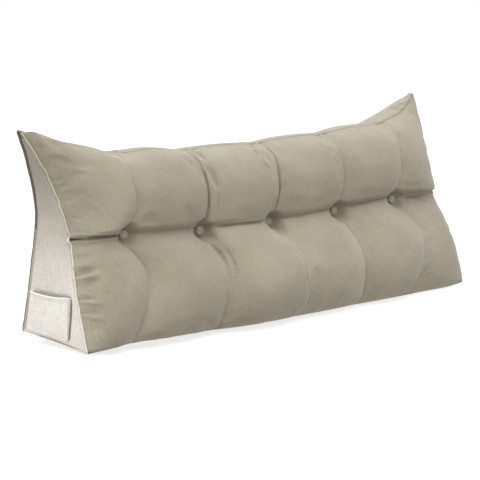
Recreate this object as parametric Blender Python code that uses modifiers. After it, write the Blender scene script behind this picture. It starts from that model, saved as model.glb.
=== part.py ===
"""Tufted wedge cushion for the head of a bed: one filled wedge with two rows of puffs,
five covered buttons, an end panel with a corded seam at each end, and an open side pocket.

Metres, +Z up. X runs along the cushion, the puffed front faces -Y and the base stands on z = 0.
The origin is on the floor, midway between the front and back corners of the end panels.
"""
import math
from collections import namedtuple

import bmesh
import bpy
from mathutils import Vector

# Driving sizes
HEIGHT = 0.495           # floor to the seams at the ear tips
BASE_DEPTH = 0.220       # end panel along the floor
EAR_DEPTH = 0.010        # end panel at the ear tip
FRONT_Y = -BASE_DEPTH / 2
BACK_Y = BASE_DEPTH / 2
GAP = 0.0004             # between pieces that touch
CLOTH = 0.002            # thickness of a cloth piece

# The front sheet in section, from the floor over the belly and the brow to the roll on top.
# Each row gives the crest of a puff, the bottom of the fold beside it, and the end seam's height.
FrontRow = namedtuple("FrontRow", "name puff_y puff_z fold_y fold_z end_z")
FRONT_ROWS = (
    FrontRow("base edge", -0.118, 0.000, -0.112, 0.000, 0.004),
    FrontRow("toe", -0.172, 0.018, -0.156, 0.017, 0.020),
    FrontRow("low belly", -0.200, 0.058, -0.180, 0.056, 0.058),
    FrontRow("belly", -0.205, 0.106, -0.187, 0.102, 0.104),
    FrontRow("high belly", -0.187, 0.152, -0.171, 0.144, 0.148),
    FrontRow("lap", -0.152, 0.194, -0.132, 0.184, 0.190),
    FrontRow("inner lap", -0.114, 0.222, -0.092, 0.215, 0.226),
    FrontRow("waist", -0.085, 0.240, -0.058, 0.236, 0.250),
    FrontRow("under brow", -0.092, 0.262, -0.067, 0.262, 0.269),
    FrontRow("upper belly", -0.098, 0.305, -0.074, 0.305, 0.310),
    FrontRow("brow", -0.091, 0.356, -0.072, 0.352, 0.362),
    FrontRow("forehead", -0.058, 0.398, -0.045, 0.394, 0.416),
    FrontRow("roll", 0.004, 0.425, 0.008, 0.420, 0.489),
)
WAIST_PLACE = 7 / 12     # the waist's share of the way up the front sheet
WAIST_Z = 0.234
ROLL_CROWN = 0.014       # rise of the roll between the front sheet and the back seam

# The back sheet: its y at even steps of height, from the floor to the seam behind the roll
BACK_CURVE = (0.100, 0.117, 0.123, 0.126, 0.126, 0.124, 0.120, 0.112)
BACK_SEAM_Z = 0.396
BACK_FOOT_Z = 0.026      # the end seam's back corner stands off the floor

# Half lengths of the cushion at each height of its end seams, and how far the back edge
# of an end flares past the front one
EndRow = namedtuple("EndRow", "z left right flare")
END_ROWS = (
    EndRow(0.000, 0.656, 0.664, 0.014),
    EndRow(0.030, 0.653, 0.663, 0.015),
    EndRow(0.075, 0.648, 0.658, 0.011),
    EndRow(0.125, 0.644, 0.652, 0.006),
    EndRow(0.185, 0.631, 0.645, 0.010),
    EndRow(0.245, 0.619, 0.635, 0.012),
    EndRow(0.300, 0.618, 0.638, 0.008),
    EndRow(0.355, 0.625, 0.651, 0.008),
    EndRow(0.400, 0.637, 0.666, 0.008),
    EndRow(0.450, 0.656, 0.680, 0.004),
    EndRow(0.500, 0.683, 0.685, 0.000),
)
END_DISH = 0.008         # how far an end panel is drawn in between its seams

# The buttons, and how full the folds below and above each one are
Tuft = namedtuple("Tuft", "x z lower upper")
TUFTS = (
    Tuft(-0.505, 0.256, 0.56, 1.00),
    Tuft(-0.265, 0.239, 0.66, 0.96),
    Tuft(-0.034, 0.237, 1.00, 1.00),
    Tuft(0.203, 0.240, 0.74, 1.00),
    Tuft(0.424, 0.249, 0.68, 0.98),
)
# How full the puffs between them are, from left to right
Puff = namedtuple("Puff", "lower upper")
PUFFS = (
    Puff(0.66, 1.00),
    Puff(0.76, 0.98),
    Puff(1.00, 1.00),
    Puff(0.86, 1.00),
    Puff(0.82, 1.00),
    Puff(0.53, 0.94),
)
FOLD_SHARPNESS = 0.60    # 1 is a wave, less is a tighter fold between rounder puffs
DIMPLE_Y = -0.049        # a button's bed, where the cloth lies flat under it
DIMPLE_RADIUS = 0.0180
DIMPLE_SLOPE = 0.018     # width of the bank around the bed
# How far along the top edge each ear's rise is felt, and how hollow its slope is
Ear = namedtuple("Ear", "reach hollow")
EARS = {-1: Ear(0.27, 1.85), 1: Ear(0.45, 1.64)}
# How much higher the roof stands, at even steps from the left end to the right one
ROOF_RISE = (0.003, -0.002, 0.008, 0.013, 0.005, 0.003, 0.002, 0.006, 0.008, 0.012, 0.004, -0.005, 0.008)
# How far the front of the base is off the floor, at the ends and the buttons
FRONT_LIFT = (0.0, 0.016, 0.004, 0.0, 0.0, 0.0, 0.0)
# How far the folds above and below the waist lean along the cushion, at the ends and the buttons
LEAN = (0.0, 0.022, 0.013, 0.020, 0.018, 0.030, 0.0)
LOW_LEAN = (0.0, 0.033, 0.013, 0.024, 0.014, 0.036, 0.0)

# Where the cushion's surface is cut into faces
PUFF_STEPS = (0.056, 0.15, 0.31, 0.50)           # shares of a puff's width from a fold
END_STEPS = (0.05, 0.13, 0.24, 0.36, 0.50, 0.64, 0.77, 0.87, 0.94)
SECTION_STEPS = 24
DEPTH_STEPS = 6
ON_PLANE = 1e-6          # a point this near a cutting plane lies on it
SHARP_ANGLE = math.radians(60)

# How the section swells from an end seam inwards: at once at the belly, slowly at the ear
BELLY_POWER = 2.1
BELLY_REACH = 0.62       # share of the way to the first button where the belly is full
EAR_POWER = 1.25
EAR_REACH = 1.0
SWELL_FROM = 0.58        # places on the front sheet where belly turns to ear
SWELL_TO = 0.92
EAR_FROM = 0.72          # place where the front sheet starts to climb into the ears
BACK_EAR_FROM = 0.5      # and the back sheet
WAIST_BLEND = 0.08       # the folds' fullness changes this far either side of the waist
WAIST_REACH = 0.16       # how far the buttons' own heights are felt
FOOT_REACH = 0.45        # the base comes down to the floor over this share of the way to a button
FOOT_RISE = 0.10         # places up from the base where that is felt
LIFT_FADE = 3            # the front of the base comes down to the floor at this power
LEAN_FROM = 0.62         # places where the folds begin to lean and lean fully, above the waist
LEAN_TO = 0.80
LOW_LEAN_FROM = 0.54     # and below it
LOW_LEAN_TO = 0.36

BUTTON_RADIUS = 0.0125
BUTTON_DOME = 0.0070
BUTTON_BACK = 0.0020
BUTTON_SIDES = 16
BUTTON_RINGS = 8
CORD_RADIUS = 0.0024
CORNER_REACH = 2.2       # how much further the cord stands off at a corner of the end
BEND_REACH = 1.75        # and at the points beside a corner
SEAM_MARGIN = 0.0058     # an end panel stops this far short of the seams around it
PANEL_TOP = 0.955        # and this share of the way up, where the ear is all seam
EAR_INWARD = 3           # faces across for each one down, inwards from a corner of the narrow ear

# The pocket on the left end panel
POCKET_FRONT = -0.038
POCKET_BACK = 0.090
POCKET_FOOT = 0.009      # above the seam below it
POCKET_MOUTH = 0.122
MOUTH_DIP = 0.004
MOUTH_STAND = 0.0195     # how far the mouth stands off the panel
POCKET_STEPS = 14
POCKET_SQUARENESS = 4.0  # 2 is a round bulge, more is a boxy one
POCKET_RISE = 0.6        # 1 stands off evenly above the foot, less stands off sooner
WALK_STEPS = 12          # enough to land on a point of the end's face


def lerp(low, high, share):
    return low + (high - low) * share


def clamp(value):
    return max(0.0, min(1.0, value))


def ease(share):
    """A smooth step from 0 to 1."""
    share = clamp(share)
    return share * share * (3.0 - 2.0 * share)


def through(values, place):
    """A smooth curve through evenly spaced values, read at a place from 0 to 1."""
    last = len(values) - 1
    index = min(int(clamp(place) * last), last - 1)
    share = clamp(place) * last - index
    here, after = values[index], values[index + 1]
    before = values[index - 1] if index > 0 else 2 * here - after
    beyond = values[index + 2] if index + 2 <= last else 2 * after - here
    slope = (after - before) / 2
    bend = before - 2.5 * here + 2 * after - beyond / 2
    twist = 1.5 * (here - after) + (beyond - before) / 2
    return here + share * (slope + share * (bend + share * twist))


def front_row(name, place):
    return through([getattr(row, name) for row in FRONT_ROWS], place)


def half_length(z, side, back_share):
    """Distance from the middle to the end seam at one height; side is -1 or 1."""
    z = max(END_ROWS[0].z, min(z, END_ROWS[-1].z))
    index = max(i for i, row in enumerate(END_ROWS[:-1]) if row.z <= z)
    low, high = END_ROWS[index:index + 2]
    share = (z - low.z) / (high.z - low.z)
    name = "left" if side < 0 else "right"
    half = lerp(getattr(low, name), getattr(high, name), share)
    return half + back_share * lerp(low.flare, high.flare, share)


def wedge_line(z):
    """The straight front edge of the end panel: its y at one height."""
    return lerp(FRONT_Y, BACK_Y - EAR_DEPTH, z / HEIGHT)


Station = namedtuple("Station", "x side share puff lower upper waist")


def station(u):
    """One cut across the cushion. u counts in puffs, from 0 at the left end to 6 at the right,
    with a button at each whole number between. share runs from 0 at an end seam to 1 at the
    button nearest to it, and puff from 0 in a fold to 1 on a crest."""
    cell = min(int(u), len(PUFFS) - 1)
    across = u - cell
    puff = PUFFS[cell]
    left = TUFTS[max(cell - 1, 0)]
    right = TUFTS[min(cell, len(TUFTS) - 1)]
    share = 1.0
    if cell == 0:
        share = across
        rise = math.sin(math.pi / 2 * clamp(2 - 2 * across)) ** FOLD_SHARPNESS
    elif cell == len(PUFFS) - 1:
        share = 1 - across
        rise = math.sin(math.pi / 2 * clamp(2 * across)) ** FOLD_SHARPNESS
    else:
        rise = max(0.0, math.sin(math.pi * across)) ** FOLD_SHARPNESS
    fold = left if across < 0.5 and cell > 0 else right
    return Station(lerp(left.x, right.x, across), -1 if u < len(PUFFS) / 2 else 1, share, rise,
                   lerp(fold.lower, puff.lower, rise), lerp(fold.upper, puff.upper, rise),
                   lerp(left.z, right.z, across))


def swell(share, place):
    """How much of the filled section has grown this far from an end seam."""
    ear = ease((place - SWELL_FROM) / (SWELL_TO - SWELL_FROM))
    power = lerp(BELLY_POWER, EAR_POWER, ear)
    reach = clamp(share / lerp(BELLY_REACH, EAR_REACH, ear))
    return (1 - (1 - reach) ** power) ** (1 / power)


def settle(share, place):
    """How far the skin has come down to its own height this far from an end seam. Beside the
    base it comes down slowly, so the corners of the foot stand off the floor."""
    return lerp(ease(share / FOOT_REACH), swell(share, place), ease(place / FOOT_RISE))


def ear_rise(cut):
    """How far the top edge has climbed towards the ear tip, from 0 to 1."""
    half = half_length(HEIGHT, cut.side, 0)
    along = lerp(half, abs(cut.x), cut.share)
    ear = EARS[cut.side]
    return clamp(1 - (half - along) / ear.reach) ** ear.hollow


def front_point(u, place):
    """A point of the front sheet; place runs from 0 at the floor to 1 on the roll."""
    cut = station(u)
    y = lerp(front_row("fold_y", place), front_row("puff_y", place), cut.puff)
    z = lerp(front_row("fold_z", place), front_row("puff_z", place), cut.puff)
    line = wedge_line(z)
    upper = ease((place - WAIST_PLACE) / (2 * WAIST_BLEND) + 0.5)
    y = line + (y - line) * lerp(cut.lower, cut.upper, upper)
    z += (cut.waist - WAIST_Z) * math.exp(-((place - WAIST_PLACE) / WAIST_REACH) ** 2)
    climb = ease((place - EAR_FROM) / (1 - EAR_FROM))
    z = lerp(z, lerp(z, front_row("end_z", 1), ear_rise(cut)), climb)
    grown = swell(cut.share, place)
    end_z = front_row("end_z", place)
    z = lerp(end_z, z, settle(cut.share, place))
    y = lerp(wedge_line(end_z), y, grown)
    x = lerp(cut.side * half_length(z, cut.side, 0), cut.x, cut.share)
    for tuft in TUFTS:
        away = math.hypot(x - tuft.x, z - tuft.z)
        y = lerp(DIMPLE_Y, y, ease((away - DIMPLE_RADIUS) / DIMPLE_SLOPE))
    return Vector((x, y, z))


def back_point(u, place):
    """A point of the back sheet; place runs from 0 at the floor to 1 at the top seam."""
    cut = station(u)
    low, high = front_row("end_z", 0), front_row("end_z", 1)
    height = (front_row("end_z", place) - low) / (high - low)
    z = height * BACK_SEAM_Z
    climb = ease((height - BACK_EAR_FROM) / (1 - BACK_EAR_FROM))
    z = lerp(z, lerp(z, HEIGHT, ear_rise(cut)), climb)
    grown = swell(cut.share, place)
    z = lerp(lerp(BACK_FOOT_Z, HEIGHT, height), z, settle(cut.share, place))
    y = lerp(BACK_Y, through(BACK_CURVE, height), grown)
    x = lerp(cut.side * half_length(z, cut.side, 1), cut.x, cut.share)
    return Vector((x, y, z))


def cushion_point(u, back, place):
    """A point of the cushion's skin; back runs from 0 on the front sheet to 1 on the back one."""
    point = front_point(u, place).lerp(back_point(u, place), back)
    bow = math.sin(math.pi * back)
    cut = station(u)
    if place == 1:
        point.z += ROLL_CROWN * bow * swell(cut.share, 1) * (1 - ear_rise(cut))
    if cut.share == 0:
        point.x -= cut.side * END_DISH * bow * math.sqrt(1 - place)
    along = u / len(PUFFS)
    point.x += through(LEAN, along) * (1 - back) * ease((place - LEAN_FROM) / (LEAN_TO - LEAN_FROM))
    low = ease((place - LOW_LEAN_FROM) / (LOW_LEAN_TO - LOW_LEAN_FROM))
    point.x += through(LOW_LEAN, along) * (1 - back) * low
    point.z += through(ROOF_RISE, along) * ease((place - EAR_FROM) / (1 - EAR_FROM))
    point.z += through(FRONT_LIFT, along) * (1 - back) ** LIFT_FADE * (1 - ease(place / FOOT_RISE))
    return point


def column_cuts():
    """The u of every cut across the cushion, the two ends left out."""
    last = len(PUFFS)
    cuts = set(range(1, last))
    cuts.update(END_STEPS)
    cuts.update(last - step for step in END_STEPS)
    for cell in range(1, last - 1):
        cuts.update(cell + step for step in PUFF_STEPS)
        cuts.update(cell + 1 - step for step in PUFF_STEPS)
    return sorted(cuts)


def cloth_material(name, color, roughness):
    material = bpy.data.materials.new(name)
    material.use_nodes = True
    shader = material.node_tree.nodes["Principled BSDF"]
    shader.inputs["Base Color"].default_value = (*color, 1)
    shader.inputs["Roughness"].default_value = roughness
    shader.inputs["Metallic"].default_value = 0
    return material


def add_object(name, mesh, material, collection):
    piece = bpy.data.objects.new(name, mesh)
    mesh.materials.append(material)
    mesh.shade_smooth()
    collection.objects.link(piece)
    return piece


def add_cloth_thickness(piece):
    """Thickens a sheet outwards, away from the face it lies on."""
    shell = piece.modifiers.new("cloth", "SOLIDIFY")
    shell.thickness = CLOTH
    shell.offset = 1


def mesh_from(bm, name):
    bmesh.ops.recalc_face_normals(bm, faces=bm.faces)
    mesh = bpy.data.meshes.new(name)
    bm.to_mesh(mesh)
    bm.free()
    return mesh


def build_cushion(material, collection):
    """A box one unit wide, cut into a lattice whose points are then set on the skin."""
    bm = bmesh.new()
    bmesh.ops.create_cube(bm, size=1)
    bmesh.ops.translate(bm, verts=bm.verts, vec=(0.5, 0.5, 0.5))
    puffs = len(PUFFS)
    planes = [(cut / puffs, Vector((1, 0, 0))) for cut in column_cuts()]
    planes += [(step / DEPTH_STEPS, Vector((0, 1, 0))) for step in range(1, DEPTH_STEPS)]
    planes += [(step / SECTION_STEPS, Vector((0, 0, 1))) for step in range(1, SECTION_STEPS)]
    for offset, normal in planes:
        geometry = bm.verts[:] + bm.edges[:] + bm.faces[:]
        bmesh.ops.bisect_plane(bm, geom=geometry, dist=ON_PLANE,
                               plane_co=normal * offset, plane_no=normal)
    for vert in bm.verts:
        u, back, place = (round(part, 5) for part in vert.co)
        vert.co = cushion_point(u * puffs, back, place)
    mesh = mesh_from(bm, "cushion")
    add_object("cushion", mesh, material, collection)
    mesh.set_sharp_from_angle(angle=SHARP_ANGLE)


def panel_point(side, back, place):
    """A point of an end's outer face. Between the cushion's own points it follows their chords."""
    u = 0 if side < 0 else len(PUFFS)
    column = min(int(back * DEPTH_STEPS), DEPTH_STEPS - 1)
    row = min(int(place * SECTION_STEPS), SECTION_STEPS - 1)
    across = back * DEPTH_STEPS - column
    up = place * SECTION_STEPS - row
    low, high = (cushion_point(u, column / DEPTH_STEPS, level / SECTION_STEPS).lerp(
        cushion_point(u, (column + 1) / DEPTH_STEPS, level / SECTION_STEPS), across)
        for level in (row, row + 1))
    return low.lerp(high, up)


def build_end_panel(name, side, material, collection):
    """A cloth sheet on the end's faces, drawn back from the seams around it."""
    bm = bmesh.new()
    rows = SECTION_STEPS - 1
    bmesh.ops.create_grid(bm, x_segments=DEPTH_STEPS, y_segments=rows, size=0.5)
    foot = SEAM_MARGIN / (panel_point(side, 0.5, 1 / SECTION_STEPS).z
                          - panel_point(side, 0.5, 0).z) / SECTION_STEPS
    for vert in bm.verts:
        place = min(max((vert.co.y + 0.5) * rows / SECTION_STEPS, foot), PANEL_TOP)
        inset = SEAM_MARGIN / (BACK_Y - panel_point(side, 0, place).y)
        back = lerp(inset, 1 - inset, vert.co.x + 0.5)
        vert.co = panel_point(side, back, place)
        vert.co.x += side * GAP
    mesh = mesh_from(bm, name)
    piece = add_object(name, mesh, material, collection)
    facing = sum(face.normal.x * face.area for face in mesh.polygons)
    if facing * side < 0:
        mesh.flip_normals()
    add_cloth_thickness(piece)


def cord_point(side, seam, inward, reach):
    """A point of the cord's centre line, outside the edge between the end's face and the
    sheet that meets it. seam and inward are (back, place) on the end's face: a point of the
    seam, and the step from it over the face. reach is how many radii the cord stands off."""
    end = 0 if side < 0 else len(PUFFS)
    next_cut = END_STEPS[0] if side < 0 else len(PUFFS) - END_STEPS[0]
    back, place = seam
    here = cushion_point(end, back, place)
    on_end = cushion_point(end, back + inward[0] / DEPTH_STEPS, place + inward[1] / SECTION_STEPS) - here
    on_sheet = cushion_point(next_cut, back, place) - here
    if reach < CORNER_REACH:
        along = Vector((inward[1], inward[0])) / 2
        ahead = (back + along.x / DEPTH_STEPS, place + along.y / SECTION_STEPS)
        behind = (back - along.x / DEPTH_STEPS, place - along.y / SECTION_STEPS)
        tangent = (cushion_point(end, *ahead) - cushion_point(end, *behind)).normalized()
        on_end -= tangent * on_end.dot(tangent)
        on_sheet -= tangent * on_sheet.dot(tangent)
    outward = -(on_end.normalized() + on_sheet.normalized()).normalized()
    return here + outward * (CORD_RADIUS + GAP) * reach


def build_cord(name, side, material, collection):
    """The corded seam: up the front edge of an end, down its back edge and along its foot."""
    rows = [(step / SECTION_STEPS, BEND_REACH if step in (1, SECTION_STEPS - 1) else 1)
            for step in range(1, SECTION_STEPS)]
    columns = [(step / DEPTH_STEPS, BEND_REACH if step in (1, DEPTH_STEPS - 1) else 1)
               for step in range(1, DEPTH_STEPS)]
    route = [cord_point(side, (0, row), (1, 0), reach) for row, reach in rows]
    route += [cord_point(side, (0, 1), (EAR_INWARD, -1), CORNER_REACH)]
    route += [cord_point(side, (1, 1), (-EAR_INWARD, -1), CORNER_REACH)]
    route += [cord_point(side, (1, row), (-1, 0), reach) for row, reach in reversed(rows)]
    route += [cord_point(side, (1, 0), (-1, 1), CORNER_REACH)]
    route += [cord_point(side, (column, 0), (0, 1), reach) for column, reach in reversed(columns)]
    route += [cord_point(side, (0, 0), (1, 1), CORNER_REACH)]
    curve = bpy.data.curves.new(name, "CURVE")
    curve.dimensions = "3D"
    curve.bevel_depth = CORD_RADIUS
    curve.bevel_resolution = 2
    spline = curve.splines.new("POLY")
    spline.points.add(len(route) - 1)
    for point, place in zip(spline.points, route):
        point.co = (*place, 1)
    spline.use_cyclic_u = True
    spline.use_smooth = True
    piece = bpy.data.objects.new(name, curve)
    curve.materials.append(material)
    collection.objects.link(piece)


def build_button(name, tuft, material, collection):
    """A covered button: a dome with a shallower back, lying on its bed."""
    bm = bmesh.new()
    bmesh.ops.create_uvsphere(bm, u_segments=BUTTON_SIDES, v_segments=BUTTON_RINGS, radius=1)
    for vert in bm.verts:
        depth = BUTTON_DOME if vert.co.z > 0 else BUTTON_BACK
        vert.co = Vector((BUTTON_RADIUS, BUTTON_RADIUS, depth)) * vert.co
    piece = add_object(name, mesh_from(bm, name), material, collection)
    piece.location = (tuft.x, DIMPLE_Y - BUTTON_BACK - GAP, tuft.z)
    piece.rotation_euler.x = math.pi / 2


def end_face_x(side, y, z):
    """The x of an end's face, found by walking over the face to the wanted y and z."""
    back, place = 0.5, z / HEIGHT
    for _ in range(WALK_STEPS):
        point = panel_point(side, back, place)
        width = BACK_Y - wedge_line(point.z)
        back = clamp(back + (y - point.y) / width)
        place = clamp(place + (z - point.z) / HEIGHT)
    return panel_point(side, back, place).x


def pocket_point(across, up):
    """A point of the pocket's inner face. across runs from its front edge to its back edge."""
    y = lerp(POCKET_FRONT, POCKET_BACK, across)
    foot = POCKET_FOOT + lerp(FRONT_ROWS[0].end_z, BACK_FOOT_Z, (y - FRONT_Y) / BASE_DEPTH)
    mouth = POCKET_MOUTH - MOUTH_DIP * math.sin(math.pi * across)
    z = lerp(foot, mouth, up)
    belly = (1 - abs(2 * across - 1) ** POCKET_SQUARENESS) ** (1 / POCKET_SQUARENESS)
    stand = MOUTH_STAND * belly * math.sin(math.pi / 2 * up) ** POCKET_RISE
    return Vector((end_face_x(-1, y, z) - 2 * GAP - CLOTH - stand, y, z))


def build_pocket(name, material, collection):
    """A patch of cloth sewn down on three sides, its mouth standing open at the top."""
    bm = bmesh.new()
    bmesh.ops.create_grid(bm, x_segments=POCKET_STEPS, y_segments=POCKET_STEPS, size=0.5)
    for vert in bm.verts:
        vert.co = pocket_point(clamp(vert.co.x + 0.5), clamp(vert.co.y + 0.5))
    mesh = mesh_from(bm, name)
    piece = add_object(name, mesh, material, collection)
    if sum(face.normal.x * face.area for face in mesh.polygons) > 0:
        mesh.flip_normals()
    add_cloth_thickness(piece)


def main():
    for old in list(bpy.data.objects):
        bpy.data.objects.remove(old, do_unlink=True)
    collection = bpy.data.collections.new("headboard_cushion")
    bpy.context.scene.collection.children.link(collection)

    front_cloth = cloth_material("front_cloth", (0.36, 0.32, 0.25), 0.92)
    side_cloth = cloth_material("side_cloth", (0.56, 0.53, 0.46), 0.94)
    cord_cloth = cloth_material("cord_cloth", (0.50, 0.46, 0.38), 0.90)

    build_cushion(front_cloth, collection)
    for name, side in (("left", -1), ("right", 1)):
        build_end_panel(f"end_panel_{name}", side, side_cloth, collection)
        build_cord(f"seam_cord_{name}", side, cord_cloth, collection)
    for index, tuft in enumerate(TUFTS, start=1):
        build_button(f"button_{index}", tuft, front_cloth, collection)
    build_pocket("side_pocket", side_cloth, collection)


main()
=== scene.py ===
"""Looks of the tufted wedge cushion: the filled cover, its buttons, end panels, corded seams
and side pocket, in metres, with +Z up and the puffed front facing -Y."""
import math
from collections import namedtuple

import bmesh
import bpy
import numpy as np
from mathutils import Matrix, Vector


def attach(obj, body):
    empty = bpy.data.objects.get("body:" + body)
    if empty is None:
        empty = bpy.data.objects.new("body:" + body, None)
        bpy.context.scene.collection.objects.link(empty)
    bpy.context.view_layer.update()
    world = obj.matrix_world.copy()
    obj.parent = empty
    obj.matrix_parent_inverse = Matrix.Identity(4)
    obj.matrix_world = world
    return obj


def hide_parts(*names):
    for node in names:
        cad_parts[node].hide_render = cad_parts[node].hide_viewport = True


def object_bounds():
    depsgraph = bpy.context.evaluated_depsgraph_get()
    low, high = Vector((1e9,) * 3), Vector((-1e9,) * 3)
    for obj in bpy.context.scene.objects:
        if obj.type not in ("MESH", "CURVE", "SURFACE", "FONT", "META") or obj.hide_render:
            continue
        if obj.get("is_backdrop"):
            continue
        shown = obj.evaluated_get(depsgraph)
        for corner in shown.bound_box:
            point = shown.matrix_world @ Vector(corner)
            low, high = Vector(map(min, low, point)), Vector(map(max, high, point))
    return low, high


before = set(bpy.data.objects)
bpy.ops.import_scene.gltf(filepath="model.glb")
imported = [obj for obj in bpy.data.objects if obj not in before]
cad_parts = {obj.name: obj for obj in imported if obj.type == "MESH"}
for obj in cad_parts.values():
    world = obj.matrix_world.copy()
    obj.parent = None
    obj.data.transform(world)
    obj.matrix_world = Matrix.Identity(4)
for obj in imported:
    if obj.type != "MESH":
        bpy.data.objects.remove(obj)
CAD_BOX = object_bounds()

# Driving sizes, as in the solids, but for the beds of the buttons, the lean of the folds and the
# rise of the waist, which are finer here
HEIGHT = 0.495
BASE_DEPTH = 0.220
EAR_DEPTH = 0.010
FRONT_Y = -BASE_DEPTH / 2
BACK_Y = BASE_DEPTH / 2

FrontRow = namedtuple("FrontRow", "name puff_y puff_z fold_y fold_z end_z")
FRONT_ROWS = (
    FrontRow("base edge", -0.118, 0.000, -0.112, 0.000, 0.004),
    FrontRow("toe", -0.172, 0.018, -0.156, 0.017, 0.020),
    FrontRow("low belly", -0.200, 0.058, -0.180, 0.056, 0.058),
    FrontRow("belly", -0.205, 0.106, -0.187, 0.102, 0.104),
    FrontRow("high belly", -0.187, 0.152, -0.171, 0.144, 0.148),
    FrontRow("lap", -0.152, 0.194, -0.132, 0.184, 0.190),
    FrontRow("inner lap", -0.116, 0.222, -0.095, 0.215, 0.226),
    FrontRow("waist", -0.092, 0.240, -0.067, 0.236, 0.250),
    FrontRow("under brow", -0.096, 0.262, -0.075, 0.262, 0.269),
    FrontRow("upper belly", -0.099, 0.305, -0.079, 0.305, 0.310),
    FrontRow("brow", -0.091, 0.356, -0.072, 0.352, 0.362),
    FrontRow("forehead", -0.058, 0.398, -0.045, 0.394, 0.416),
    FrontRow("roll", 0.004, 0.425, 0.008, 0.420, 0.489),
)
WAIST_PLACE = 7 / 12
WAIST_Z = 0.234
ROLL_CROWN = 0.014
BACK_CURVE = (0.100, 0.117, 0.123, 0.126, 0.126, 0.124, 0.120, 0.112)
BACK_SEAM_Z = 0.396
BACK_FOOT_Z = 0.026

EndRow = namedtuple("EndRow", "z left right flare")
END_ROWS = (
    EndRow(0.000, 0.656, 0.664, 0.014),
    EndRow(0.030, 0.653, 0.663, 0.015),
    EndRow(0.075, 0.648, 0.658, 0.011),
    EndRow(0.125, 0.644, 0.652, 0.006),
    EndRow(0.185, 0.631, 0.645, 0.010),
    EndRow(0.245, 0.619, 0.635, 0.012),
    EndRow(0.300, 0.618, 0.638, 0.008),
    EndRow(0.355, 0.625, 0.651, 0.008),
    EndRow(0.400, 0.637, 0.666, 0.008),
    EndRow(0.450, 0.656, 0.680, 0.004),
    EndRow(0.500, 0.683, 0.685, 0.000),
)
END_DISH = 0.008
Tuft = namedtuple("Tuft", "x z lower upper")
TUFTS = (
    Tuft(-0.505, 0.256, 0.56, 1.00),
    Tuft(-0.265, 0.239, 0.66, 0.96),
    Tuft(-0.034, 0.237, 1.00, 1.00),
    Tuft(0.203, 0.240, 0.74, 1.00),
    Tuft(0.424, 0.249, 0.68, 0.98),
)
Puff = namedtuple("Puff", "lower upper")
PUFFS = (Puff(0.66, 1.00), Puff(0.76, 0.98), Puff(1.00, 1.00), Puff(0.86, 1.00), Puff(0.82, 1.00),
         Puff(0.53, 0.94))
FOLD_SHARPNESS = 0.60
DIMPLE_Y = -0.054
DIMPLE_RADIUS = 0.0168
DIMPLE_SLOPE = 0.015
Ear = namedtuple("Ear", "reach hollow")
EARS = {-1: Ear(0.27, 1.85), 1: Ear(0.45, 1.64)}
ROOF_RISE = (0.003, -0.002, 0.008, 0.013, 0.005, 0.003, 0.002, 0.006, 0.008, 0.012, 0.004, -0.005, 0.008)
# At u = 0 to 6: how far the foot is lifted, the waist line raised and each fold moved along
FRONT_LIFT = (0.0, 0.016, 0.004, 0.0, 0.0, 0.0, 0.0)
LEAN = (0.0, 0.028, 0.016, 0.036, 0.028, 0.034, 0.0)
LOW_LEAN = (0.0, 0.033, 0.028, 0.026, 0.020, 0.054, 0.0)
FOOT_LEAN = (0.0, -0.084, -0.048, -0.008, -0.012, -0.070, 0.0)
FOOT_LEAN_FROM = 0.03
FOOT_LEAN_TO = 0.42
WAIST_RISE = (0.0, 0.0, 0.004, 0.001, 0.005, 0.006, -0.002)
MID_LEAN = (0.0, 0.018, 0.008, 0.010, 0.011, 0.010, 0.0)
MID_LEAN_AT = 0.77
MID_LEAN_SPREAD = 0.075
CORNER_LEAN = (0.0, -0.008, -0.008, -0.004, -0.004, -0.008, 0.0)
CORNER_FROM = 0.612
CORNER_RISE = 0.035
CORNER_TOP = 0.647
CORNER_FALL = 0.06
BELLY_POWER = 2.1
BELLY_REACH = 0.62
EAR_POWER = 1.25
EAR_REACH = 1.0
SWELL_FROM = 0.58
SWELL_TO = 0.92
EAR_FROM = 0.72
BACK_EAR_FROM = 0.5
FOOT_REACH = 0.45
FOOT_RISE = 0.10
LIFT_FADE = 3
LEAN_FROM = 0.70
LEAN_TO = 1.00
LOW_LEAN_FROM = 0.54
LOW_LEAN_TO = 0.36
WAIST_BLEND = 0.08
WAIST_REACH = 0.16

# The visual skin's own lattice: cells across each puff, up the front and across the depth, and
# where they lie closer. It is halved once more after the filling has swelled it.
CELLS = (18, 17, 24, 17, 16, 17)
SECTION_CELLS = 84
DEPTH_CELLS = 12
Crowd = namedtuple("Crowd", "middle width more")
PUFF_CROWDS = tuple(Crowd(fold, 0.06, 2.0) for fold in range(1, 6)) + (
    Crowd(0.0, 0.06, 1.0), Crowd(6.0, 0.06, 1.0), Crowd(2.09, 0.05, 1.6), Crowd(2.82, 0.07, 2.0))
SECTION_CROWDS = (Crowd(WAIST_PLACE, 0.035, 1.6), Crowd(1.0, 0.06, 0.3))


def lerp(low, high, share):
    return low + (high - low) * share


def clamp(value):
    return np.clip(value, 0.0, 1.0)


def ease(share):
    share = clamp(share)
    return share * share * (3.0 - 2.0 * share)


def through(values, place):
    """A smooth curve through evenly spaced values, read at places from 0 to 1."""
    values = np.asarray(values, float)
    last = len(values) - 1
    index = np.minimum((clamp(place) * last).astype(int), last - 1)
    share = clamp(place) * last - index
    padded = np.concatenate(([2 * values[0] - values[1]], values, [2 * values[-1] - values[-2]]))
    before, here, after, beyond = (padded[index + step] for step in range(4))
    slope = (after - before) / 2
    bend = before - 2.5 * here + 2 * after - beyond / 2
    twist = 1.5 * (here - after) + (beyond - before) / 2
    return here + share * (slope + share * (bend + share * twist))


def front_row(name, place):
    return through([getattr(row, name) for row in FRONT_ROWS], np.asarray(place, float))


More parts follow.
